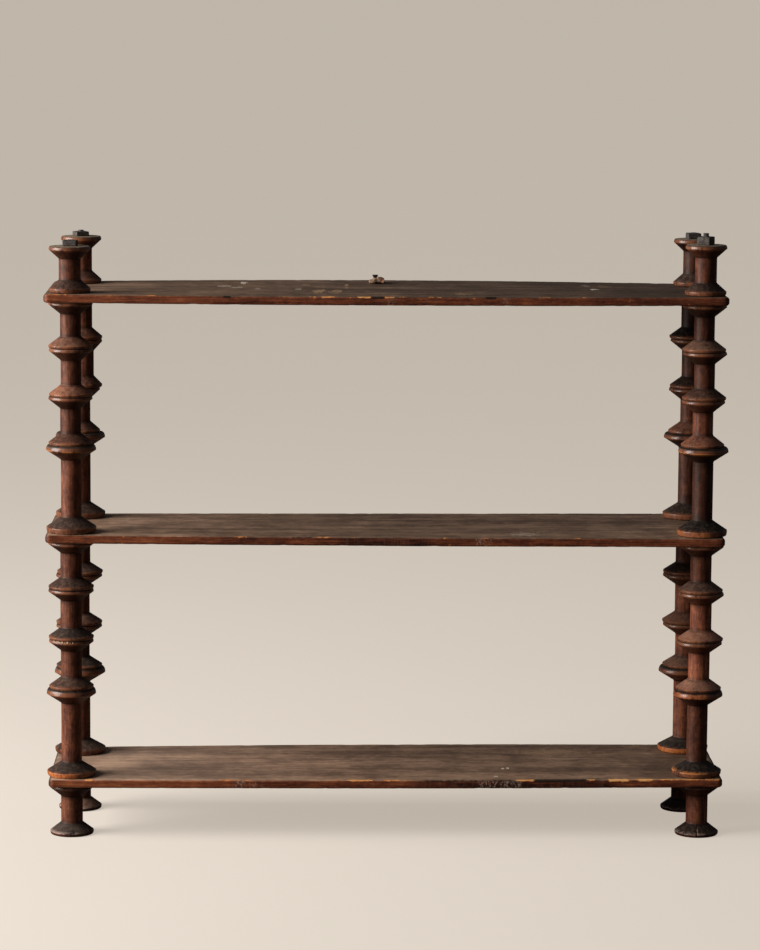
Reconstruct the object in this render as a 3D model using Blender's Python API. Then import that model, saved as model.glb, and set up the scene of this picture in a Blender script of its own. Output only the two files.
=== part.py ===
"""A spice shelf of three thin boards held between four posts of turned wooden thread spools.

Each post is an iron rod strung with ten spools and the corners of the three boards, and clamped by a square
nut at each end: the lower nut sits up inside the foot spool, the upper one on the finial spool. A scrap of
leather, all that is left of a hanging tab, is screwed to the top board near its rear edge.

Metres, +Z up, -Y the front. The origin is on the floor, under the middle of the boards.
"""

from collections import namedtuple
import math

import bmesh
import bpy
from mathutils import Matrix

# Boards
BOARD_LENGTH = 0.5055
BOARD_DEPTH = 0.121
BOARD_THICKNESS = 0.0064
BOARD_CORNER_RADIUS = 0.004
BOARD_ARRIS = 0.0006
END_OVERHANG = 0.01775
EDGE_OVERHANG = 0.0185
REAR_LEFT_INSET = 0.003

# Spools: height over the flanges, radius of the rim and of the barrel, height of the rim and of the cone
FOOT_HEIGHT = 0.0385
FOOT_RIM_RADIUS = 0.0163
FOOT_BARREL_RADIUS = 0.0082
FOOT_RIM = 0.0029
FOOT_CONE = 0.0060

LONG_HEIGHT = 0.0664
LONG_RIM_RADIUS = 0.0185
LONG_BARREL_RADIUS = 0.0075
LONG_RIM = 0.0042
LONG_CONE = 0.0063

LOWER_HEIGHT = 0.0365
LOWER_RIM_RADIUS = 0.0167
LOWER_BARREL_RADIUS = 0.0078
LOWER_RIM = 0.0026
LOWER_CONE = 0.0067

UPPER_HEIGHT = 0.0350
UPPER_RIM_RADIUS = 0.0162
UPPER_BARREL_RADIUS = 0.0075
UPPER_RIM = 0.0025
UPPER_CONE = 0.0068

FINIAL_RIM_RADIUS = 0.0153
FINIAL_BARREL_RADIUS = 0.0080
FINIAL_RIM = 0.0024
FINIAL_CONE = 0.0068

RIM_ROUNDING = 0.0009
SHORT_SPOOLS_PER_TIER = 3

# Rods and nuts
ROD_RADIUS = 0.0032
ROD_CHAMFER = 0.0005
BORE_CLEARANCE = 0.0009
THREAD_CLEARANCE = 0.0003
NUT_WALL = 0.0018
BOTTOM_NUT_HEIGHT = 0.0048
NUT_CORNER_CUT = 0.0005
NUT_CHAMFER = 0.0004
NUT_POCKET_CLEARANCE = 0.0006
NUT_POCKET_RECESS = 0.0018
ROD_RECESS = 0.0008

# Hanging tab and its screw
TAB_WIDTH = 0.0122
TAB_LENGTH = 0.015
TAB_THICKNESS = 0.0016
TAB_RISE = 0.0022
TAB_ARCH = 1.6 * math.pi
TAB_OFFSET = -0.0078
TAB_REAR_INSET = 0.025
SCREW_ALONG_TAB = 0.48
SCREW_HEAD_RADIUS = 0.0023
SCREW_HEAD_HEIGHT = 0.0024
SCREW_SHANK_RADIUS = 0.0011
SCREW_CLEARANCE = 0.0003
SCREW_BITE = 0.0045

# Gap between two pieces that bear on each other, and the facets of a turned piece
SEAT_GAP = 0.0003
FACETS = 16
CORNER_FACETS = 4
SMOOTH_ANGLE = math.radians(35)
CUTTER_REACH = 0.005

# The tops of the posts: height of each finial spool and of its nut, the turn the nut was left at, and how far
# the rod stands out above it
FINIAL_HEIGHTS = {
    "front_left": 0.0335,
    "front_right": 0.0365,
    "rear_left": 0.0353,
    "rear_right": 0.0362,
}
TOP_NUT_HEIGHTS = {
    "front_left": 0.0042,
    "front_right": 0.0060,
    "rear_left": 0.0034,
    "rear_right": 0.0043,
}
NUT_TURNS = {
    "front_left": math.radians(4),
    "front_right": math.radians(30),
    "rear_left": math.radians(-22),
    "rear_right": math.radians(-7),
}
ROD_STUBS = {
    "front_left": 0.0004,
    "front_right": 0.0025,
    "rear_left": 0.0010,
    "rear_right": 0.0004,
}

BORE_RADIUS = ROD_RADIUS + BORE_CLEARANCE
NUT_HOLE_RADIUS = ROD_RADIUS + THREAD_CLEARANCE
NUT_HALF_WIDTH = NUT_HOLE_RADIUS + NUT_WALL
NUT_CORNER_RADIUS = NUT_HALF_WIDTH * math.sqrt(2) - NUT_CORNER_CUT
NUT_POCKET_RADIUS = NUT_CORNER_RADIUS + NUT_POCKET_CLEARANCE
NUT_POCKET_DEPTH = NUT_POCKET_RECESS + BOTTOM_NUT_HEIGHT + SEAT_GAP
ROD_BOTTOM = NUT_POCKET_RECESS - ROD_RECESS

LEFT_X = END_OVERHANG - BOARD_LENGTH / 2
FRONT_Y = EDGE_OVERHANG - BOARD_DEPTH / 2
POSTS = {
    "front_left": (LEFT_X, FRONT_Y),
    "front_right": (-LEFT_X, FRONT_Y),
    "rear_left": (LEFT_X + REAR_LEFT_INSET, -FRONT_Y),
    "rear_right": (-LEFT_X, -FRONT_Y),
}

Reel = namedtuple("Reel", "height rim_radius barrel_radius rim cone")
FOOT = Reel(FOOT_HEIGHT, FOOT_RIM_RADIUS, FOOT_BARREL_RADIUS, FOOT_RIM, FOOT_CONE)
LONG = Reel(LONG_HEIGHT, LONG_RIM_RADIUS, LONG_BARREL_RADIUS, LONG_RIM, LONG_CONE)
LOWER = Reel(LOWER_HEIGHT, LOWER_RIM_RADIUS, LOWER_BARREL_RADIUS, LOWER_RIM, LOWER_CONE)
UPPER = Reel(UPPER_HEIGHT, UPPER_RIM_RADIUS, UPPER_BARREL_RADIUS, UPPER_RIM, UPPER_CONE)
FINIALS = {
    post: Reel(height, FINIAL_RIM_RADIUS, FINIAL_BARREL_RADIUS, FINIAL_RIM, FINIAL_CONE)
    for post, height in FINIAL_HEIGHTS.items()
}


def stack_heights():
    """Where each spool and board starts, from the floor up, as {name: (what, z)}, and the finials' seat."""
    order = [("foot_spool", FOOT), ("bottom_shelf", None), ("lower_long_spool", LONG)]
    order += [(f"lower_spool_{i + 1}", LOWER) for i in range(SHORT_SPOOLS_PER_TIER)]
    order += [("middle_shelf", None), ("upper_long_spool", LONG)]
    order += [(f"upper_spool_{i + 1}", UPPER) for i in range(SHORT_SPOOLS_PER_TIER)]
    order.append(("top_shelf", None))
    places, z = {}, 0.0
    for name, reel in order:
        places[name] = (reel, z)
        z += (reel.height if reel else BOARD_THICKNESS) + SEAT_GAP
    return places, z


def material(name, colour, roughness, metallic=0.0):
    made = bpy.data.materials.new(name)
    made.use_nodes = True
    shader = made.node_tree.nodes["Principled BSDF"]
    shader.inputs["Base Color"].default_value = (*colour, 1.0)
    shader.inputs["Roughness"].default_value = roughness
    shader.inputs["Metallic"].default_value = metallic
    return made


def add_object(name, mesh, parent=None, at=(0.0, 0.0, 0.0), turn=0.0):
    obj = bpy.data.objects.new(name, mesh)
    bpy.context.scene.collection.objects.link(obj)
    obj.parent = parent
    obj.location = at
    obj.rotation_euler.z = turn
    return obj


def finish_mesh(bm, name, finish):
    """The edited shape as a mesh with its faces outwards, its round faces smooth and its finish on it."""
    bmesh.ops.recalc_face_normals(bm, faces=bm.faces)
    mesh = bpy.data.meshes.new(name)
    bm.to_mesh(mesh)
    bm.free()
    mesh.shade_smooth()
    mesh.set_sharp_from_angle(angle=SMOOTH_ANGLE)
    mesh.materials.append(finish)
    return mesh


def spin_section(section):
    """A ring turned about Z from a closed section of (radius, height) points."""
    bm = bmesh.new()
    points = [bm.verts.new((radius, 0.0, height)) for radius, height in section]
    edges = [bm.edges.new((a, b)) for a, b in zip(points, points[1:] + points[:1])]
    bmesh.ops.spin(
        bm,
        geom=points + edges,
        cent=(0.0, 0.0, 0.0),
        axis=(0.0, 0.0, 1.0),
        angle=2 * math.pi,
        steps=FACETS,
        use_merge=True,
    )
    return bm


def reel_section(reel, pocket=False):
    """Half the outline of a spool, closed along the bore, with a nut pocket in its foot if asked."""
    rounding = min(RIM_ROUNDING, reel.rim / 2)
    flange = [
        (reel.rim_radius - rounding, 0.0),
        (reel.rim_radius, rounding),
        (reel.rim_radius, reel.rim),
        (reel.barrel_radius, reel.rim + reel.cone),
    ]
    upper = [(radius, reel.height - height) for radius, height in reversed(flange)]
    section = flange + upper + [(BORE_RADIUS, reel.height)]
    if pocket:
        section += [
            (BORE_RADIUS, NUT_POCKET_DEPTH),
            (NUT_POCKET_RADIUS, NUT_POCKET_DEPTH),
            (NUT_POCKET_RADIUS, 0.0),
        ]
    else:
        section.append((BORE_RADIUS, 0.0))
    return section


def spool_mesh(name, reel, finish, pocket=False):
    return finish_mesh(spin_section(reel_section(reel, pocket)), name, finish)


def nut_mesh(height, finish):
    """A square nut: a turned collar whose outer points are drawn out to four flats."""
    edge = NUT_HALF_WIDTH - NUT_CHAMFER
    section = [
        (NUT_HOLE_RADIUS, 0.0),
        (edge, 0.0),
        (NUT_HALF_WIDTH, NUT_CHAMFER),
        (NUT_HALF_WIDTH, height - NUT_CHAMFER),
        (edge, height),
        (NUT_HOLE_RADIUS, height),
    ]
    bm = spin_section(section)
    hole_limit = (NUT_HOLE_RADIUS + edge) / 2
    for vert in bm.verts:
        radius = math.hypot(vert.co.x, vert.co.y)
        if radius < hole_limit:
            continue
        to_flat = radius / max(abs(vert.co.x), abs(vert.co.y))
        stretch = min(to_flat, NUT_CORNER_RADIUS / NUT_HALF_WIDTH)
        vert.co.x *= stretch
        vert.co.y *= stretch
    return finish_mesh(bm, "nut", finish)


def rod_mesh(length, finish):
    """A round rod standing on z = 0, with its two ends chamfered."""
    bm = bmesh.new()
    bmesh.ops.create_cone(
        bm,
        cap_ends=True,
        segments=FACETS,
        radius1=ROD_RADIUS,
        radius2=ROD_RADIUS,
        depth=length,
        matrix=Matrix.Translation((0.0, 0.0, length / 2)),
    )
    ends = [edge for edge in bm.edges if abs(edge.verts[0].co.z - edge.verts[1].co.z) < length / 2]
    bmesh.ops.bevel(bm, geom=ends, offset=ROD_CHAMFER, segments=1, affect="EDGES")
    return finish_mesh(bm, "rod", finish)


def board_mesh(finish):
    """A board standing on z = 0, with rounded corners in plan and its long edges eased."""
    bm = bmesh.new()
    bmesh.ops.create_cube(bm, size=1.0)
    bmesh.ops.scale(bm, vec=(BOARD_LENGTH, BOARD_DEPTH, BOARD_THICKNESS), verts=bm.verts)
    bmesh.ops.translate(bm, vec=(0.0, 0.0, BOARD_THICKNESS / 2), verts=bm.verts)
    corners = [edge for edge in bm.edges if edge.verts[0].co.z != edge.verts[1].co.z]
    bmesh.ops.bevel(
        bm,
        geom=corners,
        offset=BOARD_CORNER_RADIUS,
        segments=CORNER_FACETS,
        profile=0.5,
        affect="EDGES",
    )
    flats = [face for face in bm.faces if abs(face.normal.z) > math.cos(SMOOTH_ANGLE)]
    arrises = list({edge for face in flats for edge in face.edges})
    bmesh.ops.bevel(bm, geom=arrises, offset=BOARD_ARRIS, segments=1, affect="EDGES")
    return finish_mesh(bm, "board", finish)


def cutter(name, radius, at, height):
    """A hidden round cutter standing on its point, for drilling holes."""
    bm = bmesh.new()
    bmesh.ops.create_cone(
        bm,
        cap_ends=True,
        segments=FACETS,
        radius1=radius,
        radius2=radius,
        depth=height,
        matrix=Matrix.Translation((0.0, 0.0, height / 2)),
    )
    mesh = bpy.data.meshes.new(name)
    bm.to_mesh(mesh)
    bm.free()
    made = add_object(name, mesh, at=at)
    made.hide_render = True
    made.display_type = "WIRE"
    return made


def drill(obj, tool):
    cut = obj.modifiers.new(tool.name, "BOOLEAN")
    cut.operation = "DIFFERENCE"
    cut.solver = "EXACT"
    cut.object = tool


def tab_underside(along):
    """Height of the arched leather over its seat, at a share of its width from its left tip."""
    return TAB_RISE * (1 - math.cos(TAB_ARCH * along)) / 2


def tab_mesh(finish):
    """A thick leather strip that lies on its left tip and arches up over to its raised right end."""
    bm = bmesh.new()
    steps = FACETS // 2
    rows = []
    for i in range(steps + 1):
        x = TAB_WIDTH * (i / steps - 0.5)
        low = tab_underside(i / steps)
        rows.append([bm.verts.new((x, -TAB_LENGTH / 2, z)) for z in (low, low + TAB_THICKNESS)])
    for left, right in zip(rows, rows[1:]):
        bm.faces.new((left[0], right[0], right[1], left[1]))
    grown = bmesh.ops.extrude_face_region(bm, geom=list(bm.faces), use_keep_orig=True)
    moved = [item for item in grown["geom"] if isinstance(item, bmesh.types.BMVert)]
    bmesh.ops.translate(bm, vec=(0.0, TAB_LENGTH, 0.0), verts=moved)
    return finish_mesh(bm, "hanger_tab", finish)


def screw_mesh(length, finish):
    """A countersunk screw with its point on z = 0: a plain shank under a conical head."""
    bm = bmesh.new()
    bmesh.ops.create_cone(
        bm,
        cap_ends=True,
        segments=FACETS,
        radius1=SCREW_SHANK_RADIUS,
        radius2=SCREW_SHANK_RADIUS,
        depth=length - SCREW_HEAD_HEIGHT,
        matrix=Matrix.Translation((0.0, 0.0, (length - SCREW_HEAD_HEIGHT) / 2)),
    )
    top = max(bm.faces, key=lambda face: face.calc_center_median().z)
    head = bmesh.ops.extrude_discrete_faces(bm, faces=[top])["faces"][0]
    bmesh.ops.translate(bm, vec=(0.0, 0.0, SCREW_HEAD_HEIGHT), verts=head.verts)
    spread = SCREW_HEAD_RADIUS / SCREW_SHANK_RADIUS
    bmesh.ops.scale(bm, vec=(spread, spread, 1.0), verts=head.verts)
    return finish_mesh(bm, "hanger_screw", finish)


def build_boards(places, finish, finial_seat):
    tools = [
        cutter(f"rod_hole_{post}", BORE_RADIUS, (x, y, -CUTTER_REACH), finial_seat + 2 * CUTTER_REACH)
        for post, (x, y) in POSTS.items()
    ]
    mesh = board_mesh(finish)
    for name in ("bottom_shelf", "middle_shelf", "top_shelf"):
        board = add_object(name, mesh, at=(0.0, 0.0, places[name][1]))
        for tool in tools:
            drill(board, tool)


def build_post(post, places, meshes, finial_seat, bottom_nut, wood, iron):
    """One rod with its ten spools and two nuts, hung on an empty that stands on the rod's axis."""
    axis = add_object(f"axis_{post}", None, at=(*POSTS[post], 0.0))
    for name, mesh in meshes.items():
        add_object(f"{name}_{post}", mesh, axis, (0.0, 0.0, places[name][1]))
    finial = spool_mesh("finial_spool", FINIALS[post], wood)
    add_object(f"finial_spool_{post}", finial, axis, (0.0, 0.0, finial_seat))
    nut_seat = finial_seat + FINIALS[post].height + SEAT_GAP
    top_nut = nut_mesh(TOP_NUT_HEIGHTS[post], iron)
    add_object(f"top_nut_{post}", top_nut, axis, (0.0, 0.0, nut_seat), NUT_TURNS[post])
    add_object(f"bottom_nut_{post}", bottom_nut, axis, (0.0, 0.0, NUT_POCKET_RECESS))
    rod = rod_mesh(nut_seat + TOP_NUT_HEIGHTS[post] + ROD_STUBS[post] - ROD_BOTTOM, iron)
    add_object(f"rod_{post}", rod, axis, (0.0, 0.0, ROD_BOTTOM))


def build_hanger(top_face, leather, steel):
    """The leather scrap on the top board and the screw that pins it."""
    seat = top_face + SEAT_GAP
    tab_y = BOARD_DEPTH / 2 - TAB_REAR_INSET
    screw_x = TAB_OFFSET + TAB_WIDTH * (SCREW_ALONG_TAB - 0.5)
    under_head = seat + tab_underside(SCREW_ALONG_TAB) + TAB_THICKNESS
    point = top_face - SCREW_BITE
    hole = cutter(
        "screw_hole",
        SCREW_SHANK_RADIUS + SCREW_CLEARANCE,
        (screw_x, tab_y, point - SCREW_CLEARANCE),
        under_head - point + CUTTER_REACH,
    )
    tab = add_object("hanger_tab", tab_mesh(leather), at=(TAB_OFFSET, tab_y, seat))
    drill(tab, hole)
    drill(bpy.data.objects["top_shelf"], hole)
    length = under_head + SCREW_CLEARANCE + SCREW_HEAD_HEIGHT - point
    add_object("hanger_screw", screw_mesh(length, steel), at=(screw_x, tab_y, point))


def main():
    for obj in list(bpy.data.objects):
        bpy.data.objects.remove(obj)
    shelf_wood = material("shelf_wood", (0.085, 0.050, 0.032), 0.55)
    spool_wood = material("spool_wood", (0.100, 0.032, 0.017), 0.42)
    iron = material("iron", (0.060, 0.055, 0.052), 0.55, 0.9)
    leather = material("leather", (0.330, 0.190, 0.115), 0.75)
    steel = material("screw_steel", (0.030, 0.027, 0.026), 0.50, 0.9)

    places, finial_seat = stack_heights()
    meshes = {
        name: spool_mesh(name, reel, spool_wood, pocket=reel is FOOT)
        for name, (reel, _) in places.items()
        if reel
    }
    bottom_nut = nut_mesh(BOTTOM_NUT_HEIGHT, iron)
    build_boards(places, shelf_wood, finial_seat)
    for post in POSTS:
        build_post(post, places, meshes, finial_seat, bottom_nut, spool_wood, iron)
    build_hanger(places["top_shelf"][1] + BOARD_THICKNESS, leather, steel)


main()
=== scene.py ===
"""Looks of a spice shelf: three thin boards held apart by posts of turned wooden spools."""
import math
import random

import bmesh
import bpy
import numpy as np
from mathutils import Matrix, Vector


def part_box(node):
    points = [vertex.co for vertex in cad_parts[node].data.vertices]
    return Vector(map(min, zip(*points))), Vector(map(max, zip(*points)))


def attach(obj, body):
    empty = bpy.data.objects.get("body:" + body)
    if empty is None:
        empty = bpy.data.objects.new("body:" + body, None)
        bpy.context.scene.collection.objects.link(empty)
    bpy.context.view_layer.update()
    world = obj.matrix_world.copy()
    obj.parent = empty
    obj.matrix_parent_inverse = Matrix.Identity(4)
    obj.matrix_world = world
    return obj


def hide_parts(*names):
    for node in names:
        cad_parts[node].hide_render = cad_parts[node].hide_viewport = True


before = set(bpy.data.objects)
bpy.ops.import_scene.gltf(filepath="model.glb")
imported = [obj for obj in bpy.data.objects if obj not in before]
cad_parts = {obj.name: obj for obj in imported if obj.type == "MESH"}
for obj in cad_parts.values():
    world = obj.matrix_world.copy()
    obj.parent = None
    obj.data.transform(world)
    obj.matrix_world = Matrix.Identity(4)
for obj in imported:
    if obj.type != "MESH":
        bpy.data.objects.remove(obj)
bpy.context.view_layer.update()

MM = 0.001

# The camera, found by matching the shelf's corners and spools with the photograph.
CAMERA_POSITION = (-0.0723, -2.6993, 0.6391)
CAMERA_PITCH = 7.844
CAMERA_YAW = 1.445
CAMERA_ROLL = 0.40
FOCAL_LENGTH_IN_PIXELS = 3600
PHOTO_HEIGHT = 950
SENSOR = 36
FARTHEST_SEEN = 500

# The seed of all random draws, the distances below which points are merged in turned and in cut pieces, and
# the least weight that is stored.
SEED = 11
WELD = 0.01 * MM
CUT_WELD = 0.002 * MM
LEAST_WEIGHT = 0.01

POSTS = ("front_left", "front_right", "rear_left", "rear_right")

# Turned spools: all makes have straight cones. Each has its barrel's radius, and its lip, rim and cone at
# the bottom and at the top, in millimetres.
LATHE_STEPS = 96
LIP_STEPS = 8
ROUNDING_STEPS = 3
CONE_SHARES = (0.06, 0.25, 0.5, 0.75)
BARREL_SHARES = (0.2, 0.4, 0.6, 0.8)
OUT_OF_ROUND = (0.995, 1.015)
NICK_DEPTH = 0.25 * MM
BORE_RADIUS = 4.1 * MM
POCKET_RADIUS = 7.6 * MM
FILLET = 1.5 * MM
EDGE_ROUNDING = 0.25 * MM
SEAT_CLOSING = 0.15 * MM
SPOOL_MAKES = {
    "foot_spool": (8.1, (0.7, 2.4, 6.4), (0.9, 2.6, 6.6)),
    "lower_long_spool": (7.7, (1.4, 3.8, 6.8), (2.0, 4.2, 7.3)),
    "lower_spool": (7.9, (0.8, 2.1, 6.4), (1.0, 2.4, 6.6)),
    "upper_long_spool": (7.6, (0.8, 4.1, 7.4), (2.0, 3.9, 7.3)),
    "upper_spool": (7.6, (0.8, 2.1, 6.6), (1.0, 2.3, 7.0)),
    "finial_spool": (8.0, (1.0, 3.0, 6.5), (1.0, 2.7, 6.7)),
}

# The spools of a post from the floor up, how far each sits to the right of the rod's top in millimetres,
# and how far the three joints of the lower tier and of the upper tier are above the regular place.
STACK = ("foot_spool", "lower_long_spool", "lower_spool_1", "lower_spool_2", "lower_spool_3",
         "upper_long_spool", "upper_spool_1", "upper_spool_2", "upper_spool_3", "finial_spool")
SPOOL_DRIFTS = {
    "front_left": (-0.6, -0.6, -0.5, -0.5, -0.4, 0.0, -0.3, 0.2, 0.0, -0.4),
    "front_right": (1.1, 0.3, 0.7, 1.5, 0.9, 1.0, 0.3, 0.8, 0.1, 0.4),
    "rear_left": (-2.2, -2.0, -2.5, -2.4, -1.7, -1.0, -1.0, 1.9, 0.7, 0.3),
    "rear_right": (-1.2, -1.2, -0.3, -1.2, -1.2, -0.7, 0.0, 0.4, -0.4, 0.6),
}
JOINT_RISES = {
    "front_left": ((-0.7, 0.0, 1.3), (-0.8, 0.2, 0.8)),
    "front_right": ((-1.3, -0.6, -0.4), (-0.7, -0.8, 0.0)),
    "rear_left": ((-0.7, -3.6, -1.1), (-1.9, -2.2, -0.7)),
    "rear_right": ((1.0, -1.4, 0.4), (-0.6, -1.0, 1.7)),
}

# How far the top of each finial is above its regular place, with its nut and the end of its rod.
TOP_RISES = {"front_left": 0.3, "front_right": 0.5, "rear_left": 0.0, "rear_right": -0.75}

# How much broader the flanges of the rear posts are than those of the front posts, from the floor up.
REAR_SPREADS = {
    "rear_left": (0.0, 0.8, 0.8, 0.8, 0.8, 0.1, -1.2, -2.2, -1.0, -0.2),
    "rear_right": (0.0, 0.8, 0.8, 0.8, 0.8, 0.6, 0.5, 0.3, 0.2, 0.0),
}

# How far the stain has gone from the rims, bottom and top, where it differs from the usual light wear,
# on the side that is a given angle from the front. That side faces the lamp, so keeping the wear to it
# also paints light on the lit side and leaves the shaded side dark.
LIT_WORN_SIDE = math.radians(-45)
USUAL_WEAR = (0.0, 0.14)
BARE_RIMS = {
    "lower_long_spool_front_left": (0.75, 0.15),
    "lower_long_spool_front_right": (0.15, 0.60),
    "lower_long_spool_rear_right": (0.95, 0.20),
    "lower_long_spool_rear_left": (0.40, 0.20),
    "upper_long_spool_front_right": (0.45, 0.15),
    "upper_long_spool_front_left": (0.35, 0.10),
}

# Spools with a rim rubbed to a bright line along its corner, and which rim it is.
BRIGHT_LINES = {"upper_long_spool_front_left": "top", "upper_long_spool_front_right": "top",
                "lower_long_spool_front_right": "bottom"}

# How dull and grey the cones are, by the make of spool, give or take the spread.
DULL_CONES = {"foot_spool": 0.85, "lower_long_spool": 0.85, "lower_spool": 0.7, "upper_long_spool": 0.7,
              "upper_spool": 0.35, "finial_spool": 0.55}
DULL_SPREAD = 0.15

# How much the rims of the feet are rubbed by hands, next to those of the other spools.
FOOT_HANDLED = 0.1

# How light the barrels and the upward cones are, where they differ from the others.
BARREL_TONES = {
    "front_left": {1.4: ("lower_long_spool", "upper_long_spool"), 0.8: ("upper_spool_1", "upper_spool_3")},
    "front_right": {2.2: ("lower_spool_1", "lower_spool_2"), 1.4: ("foot_spool", "upper_spool_1"),
                    0.8: ("lower_long_spool", "upper_spool_2"), 0.6: ("upper_spool_3",),
                    0.4: ("upper_long_spool",)},
    "rear_left": {1.4: ("finial_spool",), 0.6: ("lower_spool_1",)},
    "rear_right": {2.2: ("lower_spool_2",), 1.7: ("lower_long_spool", "lower_spool_1"),
                   0.6: ("upper_long_spool", "upper_spool_2"), 0.4: ("finial_spool",),
                   0.2: ("upper_spool_3",)},
}
CONE_TONES = {
    "front_left": {2.0: ("upper_spool_2", "upper_spool_3"),
                   0.7: ("lower_spool_1", "lower_spool_3", "upper_long_spool", "finial_spool"),
                   0.45: ("lower_long_spool", "lower_spool_2")},
    "front_right": {2.5: ("lower_spool_1", "lower_spool_2", "upper_spool_3"),
                    1.5: ("lower_spool_3", "upper_spool_1"), 0.45: ("foot_spool", "finial_spool"),
                    0.2: ("lower_long_spool", "upper_long_spool")},
    "rear_left": {2.5: ("foot_spool",), 0.7: ("upper_long_spool",)},
    "rear_right": {2.5: ("lower_spool_1", "lower_spool_2"), 1.5: ("upper_spool_1",),
                   0.7: ("lower_long_spool", "foot_spool"),
                   0.45: ("upper_long_spool", "lower_spool_3", "upper_spool_2"), 0.2: ("upper_spool_3",)},
}

# Chips out of one upper rim, by their angles from the front, and a split up from one foot.
CHIPPED_RIM = "lower_spool_1_front_left"
CHIP_ANGLES = (-50, -36, -23, -9, 5)
CHIP_RADIUS = 1.5 * MM
CHIP_STANDOFF = 0.45
SPLIT_FOOT = "foot_spool_front_right"
SPLIT_ANGLE = -6
SPLIT_WIDTH = 0.9 * MM
SPLIT_HEIGHT = 11 * MM
SPLIT_TAPER = 0.25
SPLIT_LIFT = 0.3 * MM

# Boards: how far each sits to the right of the middle of the posts, the rise of its front and rear edges
# midway between the posts, and of its front left, front right, rear left and rear right corners.
CORNER_RADIUS = 4.0 * MM
ARRIS = 1.3 * MM
END_ROUNDING = 3.0 * MM
END_THINNING = 0.45
CUTS_ALONG = 250
CUTS_ACROSS = 24
EDGE_SHARES = (0.3, 0.4, 0.5, 0.6, 0.7)
WAVE_HEIGHT = 0.3 * MM
DENT_DEPTH = 0.4 * MM
POST_X = 235 * MM
SHIFTS = {"bottom_shelf": 0.6, "middle_shelf": -0.9, "top_shelf": -1.2}
BOWS = {"bottom_shelf": (-0.6, 0.9), "middle_shelf": (-0.5, 0.0), "top_shelf": (-0.8, 1.8)}
CORNER_RISES = {
    "bottom_shelf": (-0.6, 0.4, -1.2, 1.5),
    "middle_shelf": (0.7, -0.8, -0.9, 0.6),
    "top_shelf": (0.0, 0.0, 0.0, 0.0),
}

# Wear and painted shadow along the front edges, as (from, to, how much): pale chips on the upper and lower
# arris, dark stretches of the upper arris that are a painted shadow line, stretches where the whole edge is
# in a darker or a warmer shade, and scrapes. Shades blend out over the long distance, and the others over the
# short one. Distances are in millimetres.
LONG_BLEND = 12
SHORT_BLEND = 2
EDGE_WEAR_AND_SHADOW = {
    "top_shelf": {
        "pale": ((-250, -238, 0.6), (-206, -200, 0.6), (-177, -172, 0.8), (-87, -74, 0.5), (-59, -55, 0.7),
                 (-49, -40, 0.8), (-23, -13, 0.9), (-3, 4, 0.65), (7, 13, 0.6), (29, 38, 0.6),
                 (110, 120, 0.5), (137, 145, 0.5)),
        "low": ((0, 30, 0.5), (84, 108, 0.4)),
        "dark": ((-121, -117, 0.8), (-12, -4, 1.0), (72, 78, 0.9)),
        "shade": (),
        "warm": ((-250, -130, 0.6), (-90, -70, 0.4), (30, 70, 0.3)),
        "scrape": ((0, 6, 0.4), (84, 88, 0.5)),
    },
    "middle_shelf": {
        "pale": ((-114, -105, 0.6), (-53, -42, 0.65), (-26, -21, 0.5), (42, 44, 0.7), (67, 75, 0.5),
                 (137, 143, 0.6)),
        "low": ((80, 93, 0.8), (106, 134, 0.8)),
        "dark": ((-70, -55, 0.5),),
        "shade": ((-28, 27, 0.8),),
        "warm": ((-240, -128, 0.5), (30, 60, 0.3), (150, 240, 0.4)),
        "scrape": ((66, 76, 0.7),),
    },
    "bottom_shelf": {
        "pale": ((-224, -219, 0.9), (-125, -117, 0.6), (-116, -93, 0.55), (-42, -31, 0.5), (-30, -10, 0.9),
                 (0, 10, 0.7), (14, 26, 0.5), (98, 111, 0.9), (151, 157, 0.9), (168, 181, 1.35),
                 (182, 190, 0.8), (191, 200, 1.35), (202, 250, 0.75)),
        "low": ((-95, -85, 0.6), (60, 64, 0.5)),
        "dark": ((-90, -44, 0.35), (28, 96, 0.5), (113, 150, 0.85)),
        "shade": ((26, 168, 0.6),),
        "warm": ((-236, -117, 0.9), (-117, -40, 0.4), (213, 250, 0.5)),
        "scrape": ((-112, -94, 0.8), (70, 101, 1.0)),
    },
}

# How light the upper face of each board is near its left end, in the middle and near its right end: each
# board's own tone, together with painted light from the lamp on the left.
UPPER_TONES_AND_LIGHT = {
    "top_shelf": (1.6, 1.10, 0.63),
    "middle_shelf": (2.2, 1.30, 1.80),
    "bottom_shelf": (2.9, 1.80, 1.85),
}
TONE_X = 200 * MM

# Marks on the upper faces, as (x, y, half width, half depth, how strong), and the heights of the faces.
UPPER_FACES = {"top_shelf": 409, "middle_shelf": 229, "bottom_shelf": 45.2}
MARK_HALF_HEIGHT = 5
PALE_SPOTS = {
    "top_shelf": ((-108, 36, 2.2, 8, 1.0), (156, 2, 2.8, 6, 1.0), (-122, 12, 5, 5, 0.4),
                  (-113, 3, 5, 5, 0.45), (-97, -7, 2.5, 5, 0.3), (-67, -8, 2.5, 5, 0.4),
                  (152, 30, 4, 8, 0.2)),
    "middle_shelf": ((103, -41, 12, 9, 0.30),),
    "bottom_shelf": ((90, -22, 1.2, 2.5, 0.9), (94, -21, 1.2, 2.5, 0.9), (83, -48, 1.5, 3, 0.8)),
}
TAN_PATCHES = {
    "top_shelf": ((-51.5, -22, 5.2, 12, 0.9), (-38.5, -24, 4.8, 12, 1.0), (-51, 8, 5, 4, 0.6),
                  (-30, 14, 1.6, 14, 0.9), (-61, 20, 3, 5, 0.5), (55, -38, 6, 8, 0.5), (165, 26, 6, 8, 0.3)),
    "bottom_shelf": ((132, 33, 32, 9, 0.6),),
}

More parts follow.
